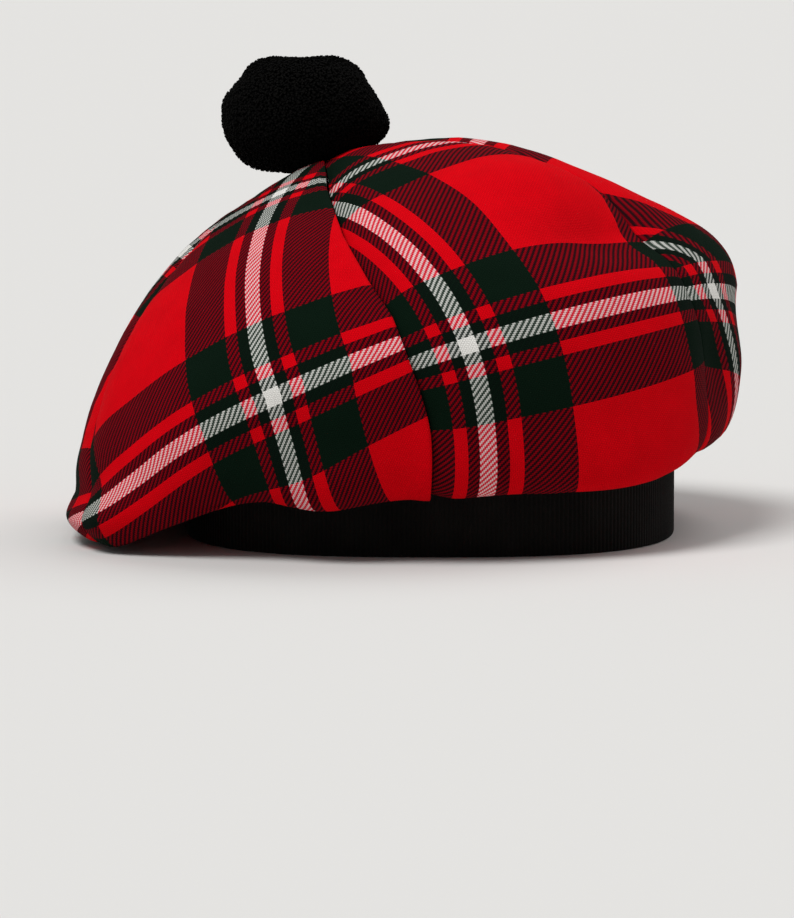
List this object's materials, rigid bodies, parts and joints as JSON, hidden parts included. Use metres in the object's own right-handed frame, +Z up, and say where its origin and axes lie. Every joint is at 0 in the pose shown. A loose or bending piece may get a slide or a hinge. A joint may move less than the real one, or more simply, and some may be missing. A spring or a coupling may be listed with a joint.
{
  "type": "tam o'shanter",
  "caption": "Soft round tartan wool cap in gores that sags over a plain black headband, with a black yarn pompom on its centre and an open hollow for the head.",
  "frame": {"origin": "on the surface that the hat stands on, under the middle of its box", "axes": "+Z up, through the head opening; -Y towards the viewer; +X to the viewer's right, the side where the crown stands higher"},
  "size_m": [0.2624, 0.2632, 0.1843],
  "materials": {
    "tartan_wool": "matte red tartan twill of wool",
    "band_velvet": "black finely ribbed velvet",
    "pompom_yarn": "black cut wool yarn"
  },
  "bodies": {
    "root": {"crown_panel_1": "tartan_wool", "crown_panel_2": "tartan_wool", "crown_panel_3": "tartan_wool", "crown_panel_4": "tartan_wool", "crown_panel_5": "tartan_wool", "crown_panel_6": "tartan_wool", "head_band": "band_velvet", "pompom": "pompom_yarn"}
  },
  "joints": []
}
